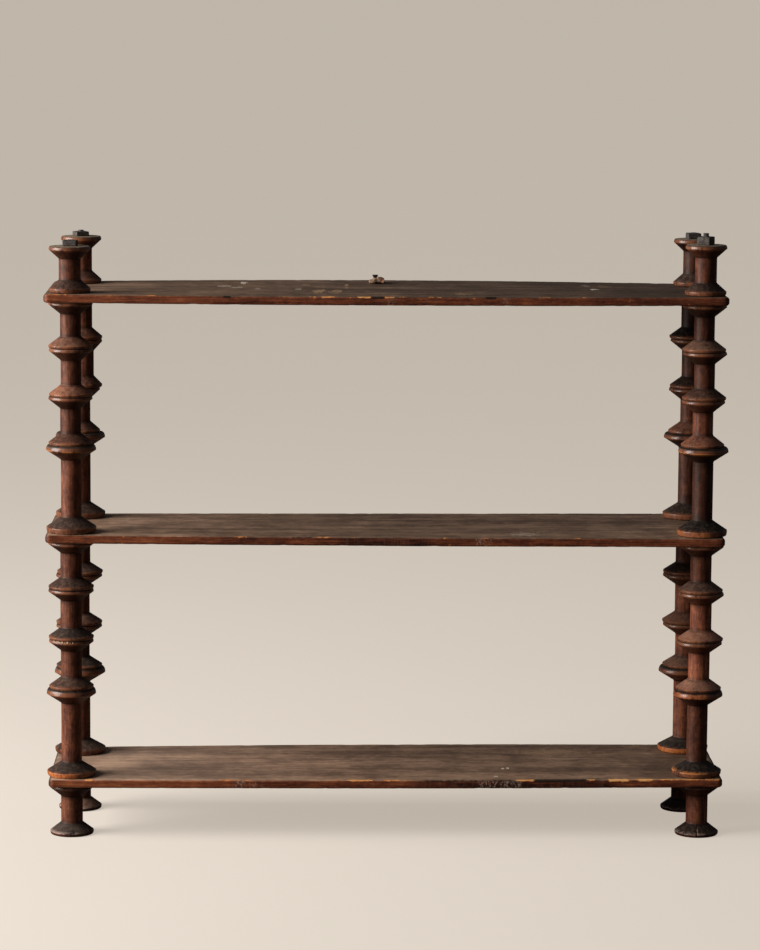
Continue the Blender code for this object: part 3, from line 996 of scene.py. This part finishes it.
def spool_finish():
    """Stained turned wood: streaked barrels, dull cones, painted shade at the joints and under the flanges,
    grime and painted shade in the barrel corners, and some rims rubbed back to orange.
    """
    wood = Finish("spool_wood")
    streaks = wood.noise(wood.stretched((1, 1, 0.09)), 520, 6, 0.66, 0.5)
    blotches = wood.noise(wood.place(), 70, 3)
    mottle = wood.noise(wood.stretched((1, 1, 0.6)), 330, 5, 0.65, 0.6)
    rings = wood.noise(wood.stretched((0.02, 0.02, 1)), 1900, 3)
    specks = wood.noise(wood.stretched((1, 1, 0.4)), 1100, 3, 0.7)
    rim, wear, upward = wood.kept("rim"), wood.kept("wear"), wood.upward()
    grain = 0.44 * streaks + 0.25 * blotches + 0.3 * mottle + 0.08 * rings - 0.040
    stain = wood.ramp(grain, (0.32, (0.016, 0.0055, 0.0034)), (0.46, (0.076, 0.0230, 0.0125)),
                      (0.57, (0.165, 0.0540, 0.0265)), (0.70, (0.340, 0.1380, 0.0680)))
    stain = wood.mix(0.5 * wood.ease(specks, 0.64, 0.74), stain, (0.36, 0.200, 0.120))
    tone = 1 + (wood.kept("tone") - 1) * (1 - rim)
    # The rims of the feet are made darker than those of the other spools.
    foot_rims_darker = 1 - 0.6 * rim * (1 - wood.kept("handled"))
    # Faces that look down, the undersides of the flanges, are darkened by up to 55 %: painted shade.
    stain = wood.scaled(stain, tone * foot_rims_darker * (1 - 0.55 * wood.ease(upward, -0.3, -0.6)))
    handled = rim * wood.kept("handled") * wood.ease(blotches * 0.6 + mottle * 0.5, 0.40, 0.62)
    stain = wood.mix(handled * 0.5, stain, (0.26, 0.100, 0.045))
    end_grain = wood.ease(upward, 0.30, 0.62)
    dull = wood.ramp(blotches * 0.3 + streaks * 0.3 + mottle * 0.4, (0.36, (0.014, 0.0095, 0.0078)),
                     (0.52, (0.044, 0.0300, 0.0235)), (0.66, (0.100, 0.0660, 0.0480)))
    colour = wood.mix(end_grain * wood.kept("dull"), stain, dull)
    colour = wood.mix(end_grain, colour, wood.scaled(colour, wood.kept("cone")))
    tan = wood.ease(wood.kept("cone"), 1.0, 3.0) * wood.ease(mottle, 0.3, 0.7)
    dust = wood.ease(upward, 0.35, 0.85) * wood.ease(mottle, 0.42, 0.7)
    end_face = wood.ease(upward, 0.93, 0.99) * wood.ease(mottle, 0.25, 0.6)
    rubbed = wood.ease(wear * 1.3 + (blotches - 0.5) * 0.9 + (mottle - 0.5) * 0.6, 0.42, 0.95)
    bare = wood.ramp(streaks * 0.5 + mottle * 0.6, (0.38, (0.170, 0.042, 0.0130)),
                     (0.55, (0.40, 0.112, 0.031)), (0.72, (0.60, 0.230, 0.072)))
    line = wood.kept("line")
    edge_wear = line * wood.ease(blotches * 0.6 + mottle * 0.5, 0.42, 0.62)
    # Pale line along the feet's bottom rims: wear, and a painted highlight.
    scuff = line * wood.kept("scuffed") * wood.ease(blotches * 0.4 + mottle * 0.7, 0.44, 0.60)
    bright = line * wood.kept("bright") * wood.ease(blotches * 0.7 + mottle * 0.4, 0.48, 0.58)
    # Darker in the corner where the barrel meets a cone: grime, and painted shade in that corner.
    corner_grime_and_shade = wood.ease(wood.kept("hollow") + (blotches - 0.5) * 0.6, 0.25, 1.0)
    colour = wood.cover(
        colour,
        (end_grain * tan * 0.7, (0.190, 0.118, 0.074)),
        (dust * 0.25, (0.150, 0.110, 0.080)),
        (end_face, (0.330, 0.255, 0.175)),
        (rubbed, bare),
        (edge_wear * wood.kept("handled") * 0.5, (0.30, 0.100, 0.040)),
        # worn pale line and painted highlight on the feet's rims
        (scuff * 0.75, (0.36, 0.250, 0.215)),
        (bright * 0.8, (0.62, 0.220, 0.058)),
        (wood.kept("raw") * wood.ease(mottle, 0.3, 0.5) * 0.8, (0.44, 0.280, 0.180)),
        # grime and painted shade in the barrel corners
        (corner_grime_and_shade * 0.45, (0.010, 0.0062, 0.0048)),
        # painted shade in the grooves at the joints between spools
        (wood.kept("seam") * 0.8, (0.008, 0.0050, 0.0040)),
    )
    roughness = 0.50 + 0.2 * end_grain + 0.16 * (streaks - 0.5) - 0.10 * rim
    height = (streaks * 0.5 + blotches * 0.3 + mottle * 0.4 + rings * 0.3) * (1 - 0.9 * rim)
    wood.coat(Base_Color=colour, Roughness=roughness, Specular_IOR_Level=0.18, Coat_Weight=0.4 * rim,
              Coat_Roughness=0.26, Normal=wood.bump(height, 0.25 * MM, 0.75))
    return wood.material


def board_finish():
    """Thin stained boards: dull brown tops with long streaks, painted light and sheen on the tops, red-brown
    edges, chipped arrises and a painted shadow line along the upper front arris.
    """
    wood = Finish("shelf_wood")
    fine = wood.noise(wood.stretched((0.035, 1, 1)), 900, 6, 0.65, 0.3)
    broad = wood.noise(wood.stretched((0.08, 1, 1)), 75, 5, 0.65, 0.8)
    patches = wood.noise(wood.place(), 26, 4, 0.6)
    flecks = wood.noise(wood.stretched((0.35, 1, 1)), 260, 5, 0.7)
    chips = wood.noise(wood.stretched((0.6, 1, 1)), 420, 5, 0.7)
    mottle = wood.noise(wood.stretched((0.35, 0.5, 1)), 300, 5, 0.7)
    grit = wood.noise(wood.stretched((0.45, 0.6, 1)), 420, 4, 0.7)
    teeth = wood.noise(wood.stretched((1, 1, 0.04)), 420, 3, 0.6)
    scratches = wood.noise(wood.stretched((1, 1, 0.5)), 900, 4, 0.7)
    torn = wood.noise(wood.stretched((0.8, 0.16, 1)), 420, 4, 0.7)
    ragged = wood.noise(wood.stretched((1, 0.2, 0.2)), 190, 4, 0.7)
    pale, warm, shade = wood.kept("pale"), wood.kept("warm"), wood.kept("shade")
    upward = wood.upward()
    flat = wood.ease(abs(upward), 0.55, 0.9)
    figure = 0.12 + 0.10 * fine + 0.32 * broad + 0.22 * patches + 0.18 * mottle + 0.12 * grit
    top = wood.ramp(figure, (0.44, (0.024, 0.0142, 0.0093)), (0.56, (0.088, 0.0525, 0.0340)),
                    (0.66, (0.190, 0.1180, 0.0770)), (0.78, (0.420, 0.2750, 0.1800)))
    # Tone and painted light along the top: lighter towards the lamp on the left.
    top = wood.scaled(top, wood.kept("light"))
    # Painted sheen: where the painted light is strongest, near the left ends, the top is mixed towards a
    # paler grey.
    top = wood.mix(0.3 * wood.ease(wood.kept("light"), 1.9, 3.0), top, (0.30, 0.230, 0.185))
    grain = 0.5 * fine + 0.3 * broad + 0.1 * patches + 0.2 * flecks + 0.09 * warm
    grain = grain + 0.25 * (chips - 0.5) + 0.15 * (mottle - 0.5)
    edge = wood.ramp(grain - 0.12 * shade, (0.40, (0.022, 0.0066, 0.0042)), (0.53, (0.106, 0.0270, 0.0122)),
                     (0.64, (0.240, 0.0670, 0.0275)), (0.78, (0.48, 0.170, 0.068)))
    edge = wood.cover(
        edge,
        (0.25 * warm * wood.ease(flecks * 0.5 + broad * 0.5, 0.42, 0.6), (0.27, 0.066, 0.023)),
        (shade * wood.ease(teeth, 0.50, 0.62) * 0.35, (0.20, 0.085, 0.048)),
        (wood.kept("scrape") * wood.ease(scratches, 0.52, 0.60) * 0.75, (0.42, 0.330, 0.270)),
    )
    scuffs = wood.ease(flecks * 0.75 + patches * 0.35, 0.72, 0.80) * wood.ease(upward, 0.7, 0.9)
    broken = wood.ease(flecks, 0.40, 0.52)
    coats = [(scuffs * 0.6, (0.36, 0.270, 0.185))]
    for marks, tint in ((TAN_PATCHES, (0.40, 0.250, 0.140)), (PALE_SPOTS, (0.74, 0.630, 0.520))):
        for node, spots in marks.items():
            for x, y, half_width, half_depth, strength in spots:
                centre = (x * MM, y * MM, UPPER_FACES[node] * MM)
                size = (half_width * MM, half_depth * MM, MARK_HALF_HEIGHT * MM)
                coats.append((wood.spot(centre, size, torn) * broken * strength, tint))
    rubbed = pale + (chips - 0.5) * 2.0 + (ragged - 0.5) * 1.8 + wood.kept("arris") * 0.1
    chip = wood.ramp(fine * 0.3 + chips * 0.5 + pale * 0.25, (0.36, (0.28, 0.078, 0.021)),
                     (0.52, (0.56, 0.195, 0.055)), (0.68, (0.88, 0.490, 0.185)))
    ends = wood.ease(wood.kept("end") + (patches - 0.5) * 0.8, 0.1, 0.8)
    # Painted shadow: a near-black line along stretches of the upper front arris.
    painted_arris_shadow = wood.ease(wood.kept("dark") + (chips - 0.5) * 0.8, 0.35, 0.6)
    coats += [(wood.ease(rubbed, 0.50, 0.66), chip), (ends * 0.8, (0.026, 0.0110, 0.0075)),
              (painted_arris_shadow * 0.9, (0.010, 0.006, 0.004))]
    colour = wood.cover(wood.mix(flat, edge, top), *coats)
    roughness = 0.52 + 0.14 * flat + 0.2 * (fine - 0.5)
    wood.coat(Base_Color=colour, Roughness=roughness, Specular_IOR_Level=0.22,
              Normal=wood.bump(fine * 0.6 + broad * 0.5 + flecks * 0.3, 0.25 * MM, 0.7))
    return wood.material


def iron_finish():
    """Dark old iron with dull grey faces and brown rust in patches."""
    iron = Finish("iron")
    pits = iron.noise(iron.place(), 900, 5, 0.65)
    patches = iron.noise(iron.place(), 260, 4)
    rust = iron.ease(patches, 0.46, 0.62)
    colour = iron.mix(rust, iron.ramp(pits, (0.3, (0.024, 0.0215, 0.0200)), (0.7, (0.120, 0.108, 0.103))),
                      iron.ramp(pits, (0.3, (0.020, 0.0140, 0.0105)), (0.7, (0.088, 0.062, 0.046))))
    iron.coat(Base_Color=colour, Metallic=0.25 - 0.2 * rust, Roughness=0.62 + 0.2 * rust,
              Specular_IOR_Level=0.3, Normal=iron.bump(pits + patches * 0.6, 0.12 * MM, 0.8))
    return iron.material


def leather_finish():
    """Dry tan leather with cracked dark creases and a redder cut end."""
    leather = Finish("leather")
    pores = leather.noise(leather.place(), 1500, 4, 0.7)
    patches = leather.noise(leather.place(), 330, 3)
    colour = leather.ramp(patches * 0.7 + pores * 0.3, (0.34, (0.055, 0.030, 0.020)),
                          (0.5, (0.26, 0.150, 0.095)), (0.68, (0.47, 0.320, 0.220)))
    cut_end = leather.ease(leather.kept("along"), 0.70, 0.88)
    colour = leather.mix(cut_end * 0.75, colour, (0.44, 0.190, 0.100))
    leather.coat(Base_Color=colour, Roughness=0.7 + 0.2 * (pores - 0.5), Specular_IOR_Level=0.3,
                 Normal=leather.bump(pores * 0.5 + patches, 0.2 * MM, 0.8))
    return leather.material


def screw_finish():
    """A blackened steel screw, rubbed a little brighter on its high spots."""
    steel = Finish("screw_steel")
    pits = steel.noise(steel.place(), 1400, 5, 0.6)
    colour = steel.ramp(pits, (0.35, (0.012, 0.010, 0.009)), (0.72, (0.075, 0.066, 0.058)))
    steel.coat(Base_Color=colour, Metallic=0.7, Roughness=0.42 + 0.25 * (pits - 0.5),
               Normal=steel.bump(pits, 0.06 * MM, 0.7))
    return steel.material


def dress(piece, material, body, node):
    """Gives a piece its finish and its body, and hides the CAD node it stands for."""
    piece.data.materials.clear()
    piece.data.materials.append(material)
    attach(piece, body)
    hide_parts(node)


def build_shelf():
    chance = random.Random(SEED)
    spool_wood, shelf_wood, iron = spool_finish(), board_finish(), iron_finish()
    for node in ("bottom_shelf", "middle_shelf", "top_shelf"):
        dress(board(node), shelf_wood, "shelf", node)
    for kind in SPOOL_MAKES:
        master = spool_master(kind)
        for stem in stems_of(kind):
            for post in POSTS:
                spool = place_spool(master, kind, stem, post, chance)
                dress(spool, spool_wood, "shelf", f"{stem}_{post}")
        bpy.data.objects.remove(master)
    for post in POSTS:
        dress(rod(post), iron, "shelf", "rod_" + post)
        top_nut = nut("top_nut_" + post, NUT_TURNS[post])
        shift(top_nut, (0, 0, TOP_RISES[post] * MM))
        dress(top_nut, iron, "nut_" + post, "top_nut_" + post)
        bottom_nut = nut("bottom_nut_" + post, 0)
        shift(bottom_nut, (SPOOL_DRIFTS[post][0] * MM, 0, 0))
        dress(bottom_nut, iron, "shelf", "bottom_nut_" + post)
    dress(hanger_tab(), leather_finish(), "shelf", "hanger_tab")
    dress(hanger_screw(), screw_finish(), "shelf", "hanger_screw")


def floor_finish():
    """Plain pale paper that glows a little to the eye and throws little light back up."""
    paper = Finish("pale_floor")
    seen = paper.node("LightPath", {}, {})
    fibres = paper.noise(paper.place(), 3, 3)
    tint = paper.ramp(fibres, (0.3, (0.315, 0.298, 0.278)), (0.7, (0.325, 0.308, 0.288)))
    matt = paper.node("BsdfDiffuse", {}, {"Color": tint})
    glow = paper.node("Emission", {}, {"Color": PAPER, "Strength": PAPER_GLOW})
    pale = paper.node("AddShader", {}, {0: matt, 1: glow})
    dark = paper.node("BsdfDiffuse", {}, {"Color": (0.13, 0.105, 0.085)})
    shown = paper.node("MixShader", {}, {0: seen, 1: dark, 2: pale})
    output = paper.tree.nodes["Material Output"]
    paper.feed(output.inputs["Surface"], shown)
    return paper.material


def build_stage():
    """A plain pale floor, one broad soft light from the left and a weak even fill."""
    deselect()
    bpy.ops.mesh.primitive_plane_add(size=FLOOR_SIZE)
    floor = bpy.context.object
    floor.name = "floor"
    floor.data.materials.append(floor_finish())

    lamp = bpy.data.lights.new("window_light", "AREA")
    lamp.energy = WINDOW_POWER
    lamp.size = WINDOW_SIZE
    lamp.color = WINDOW_TINT
    window = bpy.data.objects.new("window_light", lamp)
    window.location = WINDOW_PLACE
    window.rotation_mode = "QUATERNION"
    window.rotation_quaternion = (Vector(WINDOW_PLACE) - Vector(WINDOW_AIM)).to_track_quat("Z", "Y")
    bpy.context.collection.objects.link(window)

    world = bpy.data.worlds.new("room")
    world.use_nodes = True
    tree = world.node_tree
    seen = tree.nodes.new("ShaderNodeLightPath")
    shown = tree.nodes.new("ShaderNodeMixShader")
    tree.links.new(seen.outputs["Is Camera Ray"], shown.inputs[0])
    for socket, colour, strength in ((1, ROOM_TINT, ROOM_FILL), (2, PAPER, PAPER_GLOW)):
        background = tree.nodes.new("ShaderNodeBackground")
        background.inputs["Color"].default_value = (*colour, 1)
        background.inputs["Strength"].default_value = strength
        tree.links.new(background.outputs["Background"], shown.inputs[socket])
    tree.links.new(shown.outputs["Shader"], tree.nodes["World Output"].inputs["Surface"])
    bpy.context.scene.world = world
    bpy.context.scene.view_settings.view_transform = "Standard"


def build_camera():
    """The photograph's camera, from its place and its three angles."""
    pitch, yaw, roll = (math.radians(angle) for angle in (CAMERA_PITCH, CAMERA_YAW, CAMERA_ROLL))
    ahead = Vector((math.sin(yaw) * math.cos(pitch), math.cos(yaw) * math.cos(pitch), -math.sin(pitch)))
    right = Vector((math.cos(yaw), -math.sin(yaw), 0))
    up = right.cross(ahead)
    side = right * math.cos(roll) + up * math.sin(roll)
    top = up * math.cos(roll) - right * math.sin(roll)
    lens = bpy.data.cameras.new("camera")
    lens.sensor_width = SENSOR
    lens.lens = FOCAL_LENGTH_IN_PIXELS * SENSOR / PHOTO_HEIGHT
    lens.clip_end = FARTHEST_SEEN
    camera = bpy.data.objects.new("camera", lens)
    turned = Matrix((side, top, -ahead)).transposed().to_4x4()
    camera.matrix_world = Matrix.Translation(CAMERA_POSITION) @ turned
    bpy.context.collection.objects.link(camera)
    bpy.context.scene.camera = camera


build_shelf()
build_stage()
build_camera()
deselect()
